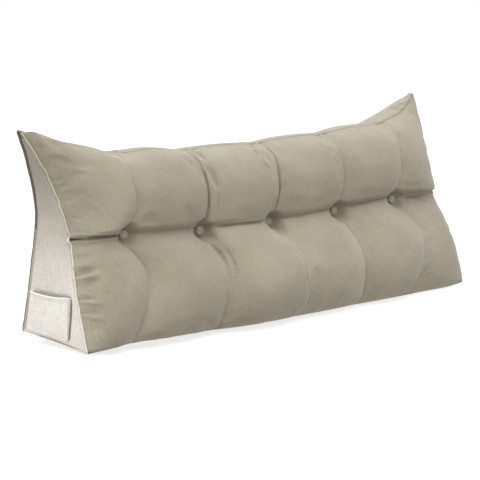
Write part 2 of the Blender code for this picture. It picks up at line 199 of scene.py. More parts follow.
def half_length(z, side, back_share):
    heights = [row.z for row in END_ROWS]
    left = np.interp(z, heights, [row.left for row in END_ROWS])
    right = np.interp(z, heights, [row.right for row in END_ROWS])
    flare = np.interp(z, heights, [row.flare for row in END_ROWS])
    return np.where(side < 0, left, right) + back_share * flare


def wedge_line(z):
    return lerp(FRONT_Y, BACK_Y - EAR_DEPTH, z / HEIGHT)


Station = namedtuple("Station", "x side share puff lower upper waist")


def station(u):
    """The cuts across the cushion at u, counted in puffs from 0 at the left end to 6."""
    u = np.asarray(u, float)
    last = len(PUFFS) - 1
    cell = np.minimum(u.astype(int), last)
    across = u - cell
    tuft = {name: np.array([getattr(row, name) for row in TUFTS]) for name in Tuft._fields}
    puff = {name: np.array([getattr(row, name) for row in PUFFS]) for name in Puff._fields}
    left = np.maximum(cell - 1, 0)
    right = np.minimum(cell, last - 1)
    share = np.where(cell == 0, across, np.where(cell == last, 1 - across, 1.0))
    wave = np.sin(math.pi * across)
    wave = np.where(cell == 0, np.sin(math.pi / 2 * clamp(2 - 2 * across)), wave)
    wave = np.where(cell == last, np.sin(math.pi / 2 * clamp(2 * across)), wave)
    rise = np.maximum(wave, 0) ** FOLD_SHARPNESS
    fold = np.where((across < 0.5) & (cell > 0), left, right)
    return Station(lerp(tuft["x"][left], tuft["x"][right], across), np.where(u < (last + 1) / 2, -1, 1),
                   share, rise, lerp(tuft["lower"][fold], puff["lower"][cell], rise),
                   lerp(tuft["upper"][fold], puff["upper"][cell], rise),
                   lerp(tuft["z"][left], tuft["z"][right], across) + through(WAIST_RISE, u / len(PUFFS)))


def swell(share, place):
    ear = ease((place - SWELL_FROM) / (SWELL_TO - SWELL_FROM))
    power = lerp(BELLY_POWER, EAR_POWER, ear)
    reach = clamp(share / lerp(BELLY_REACH, EAR_REACH, ear))
    return (1 - (1 - reach) ** power) ** (1 / power)


def settle(share, place):
    """How far the skin has come down to its own height this far from an end seam: beside the
    base it comes down slowly, so the corners of the foot stand off the floor."""
    return lerp(ease(share / FOOT_REACH), swell(share, place), ease(place / FOOT_RISE))


def ear_rise(cut):
    half = half_length(HEIGHT, cut.side, 0)
    along = lerp(half, np.abs(cut.x), cut.share)
    reach = np.where(cut.side < 0, EARS[-1].reach, EARS[1].reach)
    hollow = np.where(cut.side < 0, EARS[-1].hollow, EARS[1].hollow)
    return clamp(1 - (half - along) / reach) ** hollow


def front_points(u, place):
    """The front sheet; place runs from 0 at the floor to 1 on the roll."""
    cut = station(u)
    y = lerp(front_row("fold_y", place), front_row("puff_y", place), cut.puff)
    z = lerp(front_row("fold_z", place), front_row("puff_z", place), cut.puff)
    line = wedge_line(z)
    upper = ease((place - WAIST_PLACE) / (2 * WAIST_BLEND) + 0.5)
    y = line + (y - line) * lerp(cut.lower, cut.upper, upper)
    z = z + (cut.waist - WAIST_Z) * np.exp(-((place - WAIST_PLACE) / WAIST_REACH) ** 2)
    climb = ease((place - EAR_FROM) / (1 - EAR_FROM))
    z = lerp(z, lerp(z, front_row("end_z", 1), ear_rise(cut)), climb)
    grown = swell(cut.share, place)
    end_z = front_row("end_z", place)
    z = lerp(end_z, z, settle(cut.share, place))
    y = lerp(wedge_line(end_z), y, grown)
    x = lerp(cut.side * half_length(z, cut.side, 0), cut.x, cut.share)
    for tuft in TUFTS:
        away = np.hypot(x - tuft.x, z - tuft.z)
        y = lerp(DIMPLE_Y, y, ease((away - DIMPLE_RADIUS) / DIMPLE_SLOPE))
    return np.stack((x, y, z), axis=-1)


def back_points(u, place):
    cut = station(u)
    low, high = front_row("end_z", 0), front_row("end_z", 1)
    height = (front_row("end_z", place) - low) / (high - low)
    z = height * BACK_SEAM_Z
    climb = ease((height - BACK_EAR_FROM) / (1 - BACK_EAR_FROM))
    z = lerp(z, lerp(z, HEIGHT, ear_rise(cut)), climb)
    grown = swell(cut.share, place)
    z = lerp(lerp(BACK_FOOT_Z, HEIGHT, height), z, settle(cut.share, place))
    y = lerp(BACK_Y, through(BACK_CURVE, height), grown)
    x = lerp(cut.side * half_length(z, cut.side, 1), cut.x, cut.share)
    return np.stack((x, y, z), axis=-1)


def cushion_points(u, back, place):
    """The cushion's skin; back runs from 0 on the front sheet to 1 on the back one."""
    u, back, place = np.broadcast_arrays(np.asarray(u, float), np.asarray(back, float),
                                         np.asarray(place, float))
    points = lerp(front_points(u, place), back_points(u, place), back[..., None])
    bow = np.sin(math.pi * back)
    cut = station(u)
    roll = ROLL_CROWN * bow * swell(cut.share, place) * (1 - ear_rise(cut))
    points[..., 2] += np.where(place == 1, roll, 0)
    points[..., 0] -= np.where(cut.share == 0, cut.side * END_DISH * bow * np.sqrt(1 - clamp(place)), 0)
    along = u / len(PUFFS)
    points[..., 0] += through(LEAN, along) * (1 - back) * ease((place - LEAN_FROM) / (LEAN_TO - LEAN_FROM))
    middle = np.exp(-((place - MID_LEAN_AT) / MID_LEAN_SPREAD) ** 2)
    corner = ease((place - CORNER_FROM) / CORNER_RISE) * (1 - ease((place - CORNER_TOP) / CORNER_FALL))
    upper = through(MID_LEAN, along) * middle + through(CORNER_LEAN, along) * corner
    points[..., 0] += upper * (1 - back)
    low = ease((place - LOW_LEAN_FROM) / (LOW_LEAN_TO - LOW_LEAN_FROM))
    points[..., 0] += through(LOW_LEAN, along) * (1 - back) * low
    foot = (1 - ease(place / FOOT_LEAN_TO)) * ease(place / FOOT_LEAN_FROM)
    points[..., 0] += through(FOOT_LEAN, along) * (1 - back) * foot
    points[..., 2] += through(ROOF_RISE, along) * ease((place - EAR_FROM) / (1 - EAR_FROM))
    points[..., 2] += through(FRONT_LIFT, along) * (1 - back) ** LIFT_FADE * (1 - ease(place / FOOT_RISE))
    return points


# The skin as a lattice of points

SIDES = {"left": (0, 0), "right": (0, -1), "front": (1, 0), "behind": (1, -1),
         "base": (2, 0), "roof": (2, -1)}
TURNED = ("left", "behind", "base")


def crowded_cuts(start, end, cells, crowds, samples):
    """Cuts from start to end that lie closer together at the crowds."""
    fine = np.linspace(start, end, samples)
    density = 1 + sum(crowd.more * np.exp(-((fine - crowd.middle) / crowd.width) ** 2) for crowd in crowds)
    total = np.concatenate(([0], np.cumsum((density[1:] + density[:-1]) / 2)))
    return np.interp(np.linspace(0, 1, cells + 1), total / total[-1], fine)


def quads(grid, other_way=False):
    """The corners of each cell of a grid, counted round it one way or the other."""
    corners = (grid[:-1, :-1], grid[1:, :-1], grid[1:, 1:], grid[:-1, 1:])
    if other_way:
        corners = (corners[0], *corners[:0:-1])
    return np.stack(corners, axis=2).reshape(-1, 4, *grid.shape[2:])


def halve(values, axis=0):
    """Twice the cells along one axis of a grid, on smooth curves through the points it has."""
    values = np.moveaxis(np.asarray(values, float), axis, 0)
    ends = np.concatenate(([2 * values[0] - values[1]], values, [2 * values[-1] - values[-2]]))
    out = np.empty((2 * len(values) - 1,) + values.shape[1:])
    out[0::2] = values
    out[1::2] = (9 * (ends[1:-2] + ends[2:-1]) - ends[:-3] - ends[3:]) / 16
    return np.moveaxis(out, 0, axis)


class Skin:
    """The outside of a box lattice of cuts along u, back and place."""

    def __init__(self, u, back, place):
        self.cuts = (u, back, place)
        outside = np.zeros([len(cut) for cut in self.cuts], bool)
        for axis in range(3):
            layers = np.moveaxis(outside, axis, 0)
            layers[0] = layers[-1] = True
        self.index = np.full(outside.shape, -1)
        self.index[outside] = np.arange(outside.sum())
        keys = np.argwhere(outside)
        self.u, self.back, self.place = (cut[keys[:, axis]] for axis, cut in enumerate(self.cuts))

    def side(self, name):
        """The point numbers of one side, as a grid."""
        axis, end = SIDES[name]
        return np.take(self.index, end, axis=axis)

    def side_faces(self, name):
        grid = self.side(name)
        if name in TURNED:
            grid = grid[::-1]
        return quads(grid)

    def faces(self):
        return np.concatenate([self.side_faces(name) for name in SIDES])


def unit(vectors):
    return vectors / np.maximum(np.linalg.norm(vectors, axis=-1, keepdims=True), 1e-12)


def point_normals(points, faces):
    a, b, c, d = (points[faces[:, corner]] for corner in range(4))
    normal = np.cross(c - a, d - b)
    total = np.zeros_like(points)
    for corner in range(4):
        np.add.at(total, faces[:, corner], normal)
    return unit(total)


def carry_over(coarse, fine, field):
    """A field on the coarse skin, read on the skin with twice the cells."""
    out = np.zeros((len(fine.u),) + field.shape[1:])
    for name in SIDES:
        out[fine.side(name)] = halve(halve(field[coarse.side(name)], 0), 1)
    return out


# Filling: the cover is swelled by cloth under pressure, held at its seams, buttons and base
SLACK = 0.004            # the cover starts this much smaller all round
PRESSURE = 4.0
TRAVEL = 0.006           # the furthest that a point may move
FRAMES = 20
SPREAD_ROUNDS = 60       # what is broader than this is left to the sizes above
SPREAD_STEP = 0.7
FREE_MOVE = 0.70         # the share of the swelling that is kept on open cloth
CALM_MOVE = 0.05         # and beside the folds, the waist, the foot and the buttons
FOLD_HOLD = 0.35         # how firmly the folds and the waist are held, and how far the waist's hold goes
WAIST_HOLD = 0.75
WAIST_HELD = 0.02
FOLD_CALM = 0.10
WAIST_CALM = 0.12
BUTTON_CALM = 0.060


def filled(points, faces, held):
    """Where the cover's points come to when it is filled; held is 1 where it is sewn down."""
    mesh = bpy.data.meshes.new("cover_draft")
    mesh.from_pydata(points.tolist(), [], faces.tolist())
    draft = bpy.data.objects.new("cover_draft", mesh)
    bpy.context.scene.collection.objects.link(draft)
    group = draft.vertex_groups.new(name="held")
    for number in np.nonzero(held > 0.01)[0]:
        group.add([int(number)], float(held[number]), "REPLACE")
    cloth = draft.modifiers.new("filling", "CLOTH")
    settings = {"vertex_group_mass": "held", "pin_stiffness": 1.0, "quality": 5, "mass": 0.3,
                "tension_stiffness": 15, "compression_stiffness": 12, "shear_stiffness": 5,
                "bending_stiffness": 0.35, "use_pressure": True, "uniform_pressure_force": PRESSURE,
                "shrink_min": -0.03}
    for name, value in settings.items():
        setattr(cloth.settings, name, value)
    cloth.settings.effector_weights.gravity = 0
    cloth.collision_settings.use_collision = False
    cloth.point_cache.frame_start = 1
    cloth.point_cache.frame_end = FRAMES
    scene = bpy.context.scene
    for number in range(1, FRAMES + 1):
        scene.frame_set(number)
    done = draft.evaluated_get(bpy.context.evaluated_depsgraph_get()).data
    out = np.empty(len(points) * 3)
    done.vertices.foreach_get("co", out)
    scene.frame_set(1)
    bpy.data.objects.remove(draft, do_unlink=True)
    return out.reshape(-1, 3)


def spread(field, faces, rounds):
    """A field's broad part: each point's value averaged with its neighbours' again and again."""
    for _ in range(rounds):
        total = np.zeros_like(field)
        count = np.zeros(len(field))
        for corner in range(4):
            for step in (1, 3):
                np.add.at(total, faces[:, corner], field[faces[:, (corner + step) % 4]])
                np.add.at(count, faces[:, corner], 1)
        field = lerp(field, total / count[:, None], SPREAD_STEP)
    return field


# Creases and pleats on the front sheet. Each path is (u, place); sizes in metres.
# lip is the height of its raised edges as a share of its depth, and fade the share of the path
# over which it dies out at each end that isn't at a seam. at_seam is the share of the depth that
# is left at an end seam, where the cord holds the cloth.
Crease = namedtuple("Crease", "path width depth lip fade at_seam", defaults=(0.25, 0.3))
WAIST = WAIST_PLACE
CREASES = [Crease(*row) for row in (
    # the waist, from the left end to the right, and the folds along it
    (((0.0, 0.58), (0.3, WAIST), (0.62, WAIST), (0.93, WAIST)), 0.0026, 0.012, 0.3, 0.05, 1.0),
    (((5.05, 0.59), (5.3, 0.6), (5.58, 0.594), (5.8, 0.584), (6.0, WAIST)),
      0.0032, 0.0028, 0.3, 0.1, 0.8),
    (((1.07, WAIST), (1.45, WAIST), (1.93, WAIST)), 0.0036, 0.003, 0.05, 0.15),
    (((2.07, WAIST), (2.5, 0.588), (2.93, WAIST)), 0.003, 0.006, 0.15, 0.24),
    (((3.07, WAIST), (3.5, 0.588), (3.93, 0.592)), 0.0033, 0.0038, 0.05, 0.12),
    (((4.07, WAIST), (4.5, WAIST), (4.93, WAIST)), 0.0033, 0.0042, 0.08, 0.12),
    (((0.0, 0.508), (0.03, 0.523), (0.085, 0.541), (0.165, 0.56)), 0.0042, 0.0065, 0.3, 0.5),
    (((0.0, 0.634), (0.05, 0.642), (0.14, 0.639), (0.26, 0.634)), 0.0034, 0.0032, 0.2, 0.6),
    (((5.12, 0.552), (5.29, 0.544), (5.49, 0.546), (5.7, 0.556)), 0.004, 0.0034, 0.6, 0.35),
    (((5.4, 0.53), (5.5, 0.497), (5.62, 0.487)), 0.0042, 0.0042, 0.5, 0.45),
    # pleats that fall from the roll
    (((2.0, 0.985), (2.0, 0.92), (2.0, 0.83), (2.0, 0.74), (2.0, 0.65)), 0.0026, 0.008, 0.35, 0.12),
    (((2.016, 0.955), (2.025, 0.921), (2.04, 0.9), (2.062, 0.879), (2.08, 0.856), (2.095, 0.83),
      (2.1, 0.806), (2.09, 0.78), (2.08, 0.75)), 0.0058, 0.005, 0.32, 0.38),
    (((3.0, 0.975), (3.0, 0.92), (3.0, 0.83), (3.0, 0.74), (3.0, 0.65)), 0.0026, 0.0085, 0.35, 0.12),
    (((2.8, 0.998), (2.8, 0.975), (2.788, 0.951), (2.784, 0.925), (2.792, 0.901), (2.81, 0.879),
      (2.832, 0.858), (2.86, 0.828)), 0.005, 0.0062, 0.5, 0.3),
    (((2.915, 0.968), (2.907, 0.93), (2.908, 0.904), (2.915, 0.872)), 0.003, 0.0042, 0.5, 0.4),
    # wrinkles drawn in by the left front seam, from the top down
    (((0.0, 0.862), (0.043, 0.86), (0.11, 0.863)), 0.0038, 0.0042, 0.6, 0.55),
    (((0.0, 0.903), (0.05, 0.907), (0.11, 0.906)), 0.0038, 0.0022, 0.5, 0.6),
    (((0.0, 0.833), (0.063, 0.836), (0.15, 0.835)), 0.0036, 0.0032, 0.6, 0.55),
    (((0.02, 0.935), (0.12, 0.929), (0.2, 0.934)), 0.005, 0.001, 0.5, 0.5),
    (((0.0, 0.789), (0.04, 0.792), (0.11, 0.79)), 0.0036, 0.0026, 0.5, 0.55),
    (((0.0, 0.735), (0.05, 0.731), (0.12, 0.736)), 0.0038, 0.0018, 0.5, 0.55),
    (((0.0, 0.46), (0.05, 0.47), (0.11, 0.482)), 0.005, 0.0024, 0.5, 0.5),
    (((0.0, 0.378), (0.012, 0.388), (0.042, 0.396), (0.1, 0.406), (0.16, 0.412)),
      0.004, 0.009, 1.25, 0.6),
    (((0.0, 0.333), (0.012, 0.343), (0.05, 0.352)), 0.004, 0.0036, 0.3, 0.6),
    (((0.0, 0.283), (0.047, 0.29), (0.12, 0.289)), 0.004, 0.0052, 1.1, 0.6),
    (((0.0, 0.226), (0.01, 0.23), (0.043, 0.237), (0.1, 0.245)), 0.0042, 0.0052, 1.1, 0.6),
    (((0.0, 0.165), (0.05, 0.176), (0.11, 0.182)), 0.005, 0.002, 0.5, 0.55),
    # wrinkles at the right end of the foot, and low pleats under the buttons
    (((4.82, 0.105), (4.867, 0.146), (4.9, 0.185)), 0.0042, 0.0032, 0.6, 0.5),
    (((5.04, 0.13), (5.1, 0.171), (5.2, 0.192)), 0.0042, 0.0034, 0.6, 0.5),
    (((5.28, 0.11), (5.31, 0.158), (5.32, 0.2)), 0.0042, 0.0032, 0.6, 0.5),
    (((5.25, 0.06), (5.24, 0.129), (5.28, 0.17)), 0.0038, 0.0028, 0.6, 0.5),
    (((4.62, 0.03), (4.66, 0.1), (4.74, 0.17)), 0.005, 0.002, 0.5, 0.5),
    (((3.045, 0.4), (3.013, 0.357), (2.93, 0.291), (2.88, 0.21)), 0.0036, 0.0036, 0.8, 0.45),
    (((2.83, 0.36), (2.77, 0.28), (2.735, 0.2)), 0.0038, 0.0026, 0.7, 0.45),
    (((2.07, 0.455), (2.058, 0.401), (2.05, 0.361), (2.037, 0.3)), 0.0034, 0.002, 0.7, 0.45),
)]

# Short tucks that run out from each button: their direction in degrees, length and depth
TUCKS = {
    1: ((128, 0.03, 0.004), (100, 0.022, 0.0028), (196, 0.02, 0.0024), (318, 0.022, 0.0026),
        (12, 0.026, 0.0028), (70, 0.02, 0.002)),
    2: ((118, 0.022, 0.0026), (22, 0.024, 0.0024), (312, 0.026, 0.003), (210, 0.018, 0.002)),
    3: ((64, 0.024, 0.0026), (148, 0.02, 0.0022), (320, 0.022, 0.0024), (236, 0.018, 0.0018)),
    4: ((40, 0.024, 0.0026), (110, 0.018, 0.0022), (330, 0.024, 0.0026), (205, 0.018, 0.002)),
    5: ((60, 0.03, 0.0036), (20, 0.026, 0.0032), (335, 0.03, 0.0036), (120, 0.022, 0.003),
        (215, 0.02, 0.0024)),
}
TUCK_START = 0.012
TUCK_WIDTH = 0.0026
TUCK_BEND = 0.06         # how far its middle turns, in radians
TUCK_LIP = 0.45
TUCK_FADE = 0.30
PUFF_LENGTH = 0.24       # metres of cloth to one puff, and to the whole way up the front
FRONT_LENGTH = 0.75


def tuck_crease(button, angle, length, depth):
    turn = math.radians(angle)
    reach = (TUCK_START, TUCK_START + length / 2, TUCK_START + length)
    path = tuple((button + far * math.cos(turn + bend) / PUFF_LENGTH,
                  WAIST + far * math.sin(turn + bend) / FRONT_LENGTH)
                 for far, bend in zip(reach, (0.0, TUCK_BEND, 0.0)))
    return Crease(path, TUCK_WIDTH, depth, TUCK_LIP, TUCK_FADE)


CREASES += [tuck_crease(button, *tuck) for button, tucks in TUCKS.items() for tuck in tucks]
CREASE_STEPS = 40
RIDGE_AWAY = 1.9         # the raised edges, in widths of the crease
RIDGE_WIDTH = 0.9
SEAM_HOLD = 0.007


def along(path, steps):
    """Evenly spaced places on a smooth line through a short table of points."""
    path = np.asarray(path, float)
    share = np.linspace(0, 1, steps)
    return np.stack([through(path[:, axis], share) for axis in range(path.shape[1])], axis=-1)


def read_grid(grid, cuts, path):
    """Reads a grid of values at (u, place) places."""
    column = np.interp(path[:, 0], cuts[0], np.arange(len(cuts[0])))
    row = np.interp(path[:, 1], cuts[1], np.arange(len(cuts[1])))
    left = np.minimum(column.astype(int), grid.shape[0] - 2)
    low = np.minimum(row.astype(int), grid.shape[1] - 2)
    across = (column - left)[:, None]
    up = (row - low)[:, None]
    return lerp(lerp(grid[left, low], grid[left + 1, low], across),
                lerp(grid[left, low + 1], grid[left + 1, low + 1], across), up)


def crease_heights(cloth, cuts):
    """How far each point of the front sheet moves out along its normal, for all the creases."""
    height = np.zeros(cloth.shape[:2])
    from_seam = np.minimum(*(np.abs(cloth[..., 0] - cloth[end:][:1, :, 0]) for end in (0, -1)))
    for crease in CREASES:
        line = read_grid(cloth, cuts, along(crease.path, CREASE_STEPS))
        reach = 4 * crease.width
        near = ((cloth[..., 0] > line[:, 0].min() - reach) & (cloth[..., 0] < line[:, 0].max() + reach)
                & (cloth[..., 1] > line[:, 1].min() - reach) & (cloth[..., 1] < line[:, 1].max() + reach))
        spots = cloth[near]
        start, step = line[:-1], np.diff(line, axis=0)
        length = np.maximum((step ** 2).sum(axis=1), 1e-12)
        offset = spots[:, None] - start[None]
        share = clamp((offset * step[None]).sum(axis=2) / length)
        away = np.linalg.norm(offset - share[..., None] * step[None], axis=2)
        nearest = away.argmin(axis=1)
        rows = np.arange(len(spots))
        away = away[rows, nearest]
        place = (nearest + share[rows, nearest]) / (CREASE_STEPS - 1)
        fade = lerp(crease.at_seam, 1, ease(from_seam[near] / SEAM_HOLD))
        for end, far in ((crease.path[0], place), (crease.path[-1], 1 - place)):
            if end[0] not in (0.0, len(PUFFS)):
                fade = fade * ease(far / crease.fade)
        trough = np.exp(-(away / crease.width) ** 2)
        ridge = np.exp(-((away - RIDGE_AWAY * crease.width) / (RIDGE_WIDTH * crease.width)) ** 2)
        height[near] += crease.depth * fade * (crease.lip * ridge - trough)
    return height


# Materials

class Tree:
    """The nodes of a material or of the world, while they are put together."""

    def __init__(self, owner):
        owner.use_nodes = True
        self.nodes = owner.node_tree.nodes
        self.links = owner.node_tree.links

    def feed(self, node, inputs):
        """Sets each input to a value, or links it to another node's output."""
        for name, value in inputs.items():
            if isinstance(value, bpy.types.NodeSocket):
                self.links.new(value, node.inputs[name])
            else:
                node.inputs[name].default_value = value
        return node

    def add(self, kind, inputs=(), **settings):
        node = self.nodes.new("ShaderNode" + kind)
        for name, value in settings.items():
            setattr(node, name, value)
        return self.feed(node, dict(inputs))

    def math(self, operation, *values):
        return self.add("Math", enumerate(values), operation=operation).outputs["Value"]

    def noise(self, coords, scale, detail, roughness, stretch=(1, 1, 1)):
        """A noise of about that many spots a metre, stretched along the cloth's own directions."""
        place = self.add("Mapping", {"Vector": coords, "Scale": stretch}).outputs["Vector"]
        return self.add("TexNoise", {"Vector": place, "Scale": scale, "Detail": detail,
                                     "Roughness": roughness}).outputs["Fac"]

    def split(self, coords, axis):
        return self.add("SeparateXYZ", {"Vector": coords}).outputs[axis]

    def ramp(self, value, *stops):
        node = self.add("ValToRGB", {"Fac": value})
        elements = node.color_ramp.elements
        while len(elements) > 1:
            elements.remove(elements[-1])
        elements[0].position, elements[0].color = stops[0][0], (*stops[0][1], 1)
        for place, color in stops[1:]:
            elements.new(place).color = (*color, 1)
        return node.outputs["Color"]

    def mix(self, blend, share, first, second):
        first, second = ((*color, 1) if isinstance(color, tuple) else color for color in (first, second))
        return self.add("Mix", {"Factor": share, "A": first, "B": second},
                        data_type="RGBA", blend_type=blend).outputs["Result"]


WHITE = (1, 1, 1)
SLUB_STRETCH = 0.12
PAINTED_SHADE_LEVELS = (0.12, 0.26, 0.40)                           # the heights over which the painted shade darkens it towards the top
PAINTED_FOOT_SHADE = ((0.003, (0.55, 0.53, 0.48)), (0.010, WHITE))  # painted shade along the foot: metres up from its edge, and how dark it is there


def cloth_tree(name, roughness, sheen):
    material = bpy.data.materials.new(name)
    tree = Tree(material)
    shader = tree.feed(tree.nodes["Principled BSDF"], {
        "Roughness": roughness, "Sheen Weight": sheen, "Sheen Roughness": 0.5, "Specular IOR Level": 0.25})
    return material, tree, shader


def woven(name, dark, light, roughness, threads, slub, mottle, relief, sheen, painted_top_shade=None, painted_foot_shade=False):
    """A woven cloth: threads and slubs in relief, and a mottled colour between two tones. Towards the
    top it may be multiplied by a colour, a painted shade that darkens the upper part; and it may be
    darker along the edge that the map starts from, a painted shade at the foot."""
    material, tree, shader = cloth_tree(name, roughness, sheen)
    coords = tree.add("UVMap", uv_map="cloth").outputs["UV"]
    solid = tree.add("TexCoord").outputs["Object"]
    slubs = tree.math("MAXIMUM", *(tree.noise(coords, slub, 3, 0.6, stretch)
                                   for stretch in ((SLUB_STRETCH, 1, 1), (1, SLUB_STRETCH, 1))))
    specks = tree.noise(coords, mottle, 4, 0.65)
    clouds = tree.noise(solid, 9.0, 3, 0.55)
    tone = tree.math("MULTIPLY_ADD", slubs, 0.45, -0.02)
    tone = tree.math("MULTIPLY_ADD", specks, 0.45, tone)
    tone = tree.math("MULTIPLY_ADD", clouds, 0.30, tone)
    color = tree.ramp(tone, (0.38, dark), (0.72, light))
    # painted shade: the colour is darkened towards the top
    if painted_top_shade:
        rise = tree.math("ADD", tree.split(solid, "Z"), tree.math("MULTIPLY_ADD", clouds, 0.12, -0.06))
        rise = tree.ramp(rise, *zip(PAINTED_SHADE_LEVELS, ((0, 0, 0), (0.5, 0.5, 0.5), WHITE)))
        color = tree.mix("MIX", rise, color, tree.mix("MULTIPLY", 1.0, color, painted_top_shade))
    # painted shade: darker along the foot's edge
    if painted_foot_shade:
        color = tree.mix("MULTIPLY", 1.0, color, tree.ramp(tree.split(coords, "Y"), *PAINTED_FOOT_SHADE))
    warp, weft = (tree.math("SINE", tree.math("MULTIPLY", tree.split(coords, axis), threads * math.pi))
                  for axis in "XY")
    height = tree.math("MULTIPLY_ADD", tree.math("MULTIPLY", warp, weft), 0.5, 0.5)
    height = tree.math("MULTIPLY_ADD", slubs, 1.6, height)
    height = tree.math("MULTIPLY_ADD", specks, 1.2, height)
    bump = tree.add("Bump", {"Strength": relief, "Distance": 0.0006, "Height": height})
    tree.feed(shader, {"Base Color": color, "Normal": bump.outputs["Normal"]})
    return material


def spun(name, dark, light):
    """A thread with its twist showing as two tones."""
    material, tree, shader = cloth_tree(name, 0.6, 0.2)
    twist = tree.noise(tree.add("TexCoord").outputs["Object"], 900, 2, 0.5)
    tree.feed(shader, {"Base Color": tree.ramp(twist, (0.3, dark), (0.7, light))})
    return material


# the front cloth is darkened along its foot as painted shade
FRONT_CLOTH = woven("front_cloth", (0.215, 0.19, 0.138), (0.375, 0.340, 0.268),
                    0.88, 900, 420, 700, 0.35, 0.34, painted_foot_shade=True)
# the side cloth and the seam cloth are darkened towards the top as painted shade
SIDE_CLOTH = woven("side_cloth", (0.38, 0.355, 0.315), (0.755, 0.72, 0.672),
                   0.92, 900, 340, 280, 0.45, 0.15, painted_top_shade=(0.62, 0.60, 0.56))
SEAM_CLOTH = woven("seam_cloth", (0.56, 0.53, 0.46), (0.80, 0.77, 0.69),
                   0.85, 1100, 500, 700, 0.3, 0.2, painted_top_shade=(0.74, 0.72, 0.67))
POCKET_LINEN = woven("pocket_linen", (0.46, 0.44, 0.40), (0.80, 0.785, 0.75),
                     0.92, 900, 340, 280, 0.45, 0.15)
HEM_CLOTH = woven("hem_cloth", (0.58, 0.56, 0.50), (0.84, 0.82, 0.77), 0.88, 900, 500, 420, 0.4, 0.15)
# a dark cloth that stands in for shade, on the cord behind and in front of the pocket's binding
PAINTED_SHADE_CLOTH = woven("painted_shade_cloth", (0.11, 0.105, 0.075), (0.19, 0.18, 0.14),
                        0.85, 1100, 500, 700, 0.3, 0.2)
BUTTON_CLOTH = woven("button_cloth", (0.235, 0.21, 0.155), (0.40, 0.365, 0.29),
                     0.86, 900, 420, 700, 0.3, 0.3)
# the thread is real, but its darker tone is partly painted shadow under the hem roll
THREAD = spun("thread", (0.36, 0.34, 0.29), (0.52, 0.49, 0.43))


# Pieces

GAP = 0.0004             # left between pieces, and under what stands clear of the floor


def mesh_piece(name, points, faces, material, cloth=None):
    """A smooth mesh from points and quads. cloth gives each corner's place on the flat cloth."""
    mesh = bpy.data.meshes.new(name)
    mesh.from_pydata(np.asarray(points).tolist(), [], np.asarray(faces).tolist())
    mesh.materials.append(material)
    mesh.shade_smooth()
    if cloth is not None:
        mesh.uv_layers.new(name="cloth").uv.foreach_set("vector", np.asarray(cloth, float).ravel())
    piece = bpy.data.objects.new(name, mesh)
    bpy.context.scene.collection.objects.link(piece)
    return piece


def cloth_piece(name, points, cloth, material, thickness, turned):
    """A sheet from a grid of points and their places on the flat cloth."""
    grid = np.arange(points[..., 0].size).reshape(points.shape[:2])
    faces = quads(grid[::-1] if turned else grid)
    piece = mesh_piece(name, points.reshape(-1, 3), faces, material, cloth.reshape(-1, 2)[faces])
    shell = piece.modifiers.new("cloth", "SOLIDIFY")
    shell.thickness = thickness
    shell.offset = 1
    return piece


def tube_grid(rings, sides):
    """The numbers of a tube's points, ring by ring, with each ring's first point again at its end."""
    grid = np.arange(rings * sides).reshape(rings, sides)
    return np.concatenate((grid, grid[:, :1]), axis=1)


def tube_points(line, tangent, aside, radius, sides, sway=0.0):
    """Rings of points round a line, which is itself moved sideways by sway."""
    flat = unit(np.cross(tangent, aside))
    raised = np.cross(flat, tangent)
    angle = np.linspace(0, 2 * math.pi, sides, endpoint=False)[:, None]
    ring = np.cos(angle) * flat[:, None] + np.sin(angle) * raised[:, None]
    return (line + np.reshape(sway, (-1, 1)) * flat)[:, None] + ring * np.reshape(radius, (-1, 1, 1))


def finish_piece(piece, slot, *nodes):
    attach(piece, "root")
    if nodes:
        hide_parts(*nodes)
    return piece


def lattice():
    """The cuts along u, back and place."""
    u = [crowded_cuts(cell, cell + 1, cells, PUFF_CROWDS, 1001)[1:] for cell, cells in enumerate(CELLS)]
    return (np.concatenate([[0.0], *u]), np.linspace(0, 1, DEPTH_CELLS + 1),
            crowded_cuts(0, 1, SECTION_CELLS, SECTION_CROWDS, 2001))


def arc(points):
    """Length up the lines of a grid of points, from their first points on."""
    step = np.linalg.norm(np.diff(points, axis=1), axis=-1)
    return np.concatenate((np.zeros_like(step[:, :1]), np.cumsum(step, axis=1)), axis=1)


def cloth_corners(skin, points):
    """Each corner's place on the flat cloth, in metres: along the cushion, and up or over it."""
    corners = []
    for name in SIDES:
        grid = points[skin.side(name)]
        if name in ("front", "behind", "base", "roof"):
            flat = np.stack((grid[..., 0], arc(grid)), axis=-1)
        else:
            flat = grid[..., 1:]
        if name in TURNED:
            flat = flat[::-1]
        corners.append(quads(flat))
    return np.concatenate(corners)


def from_button(points):
    """How far each point is from the nearest button, seen from in front."""
    return np.min([np.hypot(points[:, 0] - tuft.x, points[:, 2] - tuft.z) for tuft in TUFTS], axis=0)


def tuft_pull(points):
    """1 on a button's bed and 0 outside its bank, on the front sheet."""
    bank = ease((from_button(points) - DIMPLE_RADIUS) / DIMPLE_SLOPE)
    return np.where(points[:, 1] < FRONT_HALF, 1 - bank, 0)


FRONT_HALF = 0.02        # the front sheet's cloth beside a button lies in front of this y
BROAD_WAVE = 0.0022
FINE_WAVE = 0.0011
WAVE_MARGINS = (0.4, 0.12)


def back_sag(points, skin):
    """The loose waves of the back's cloth, which die out at its edges."""
    x, z = points[..., 0], points[..., 2]
    waves = BROAD_WAVE * np.sin(7.3 * x + 9.0 * z + 0.8) * np.sin(4.1 * x - 6.5 * z + 2.1)
    waves += FINE_WAVE * np.sin(19 * x + 5.0 * np.sin(6 * z)) * np.sin(13 * z + 3.0 * x)
    across = np.minimum(skin.cuts[0], len(PUFFS) - skin.cuts[0])[:, None]
    up = np.minimum(skin.cuts[2], 1 - skin.cuts[2])[None, :]
    return waves * ease(across / WAVE_MARGINS[0]) * ease(up / WAVE_MARGINS[1])


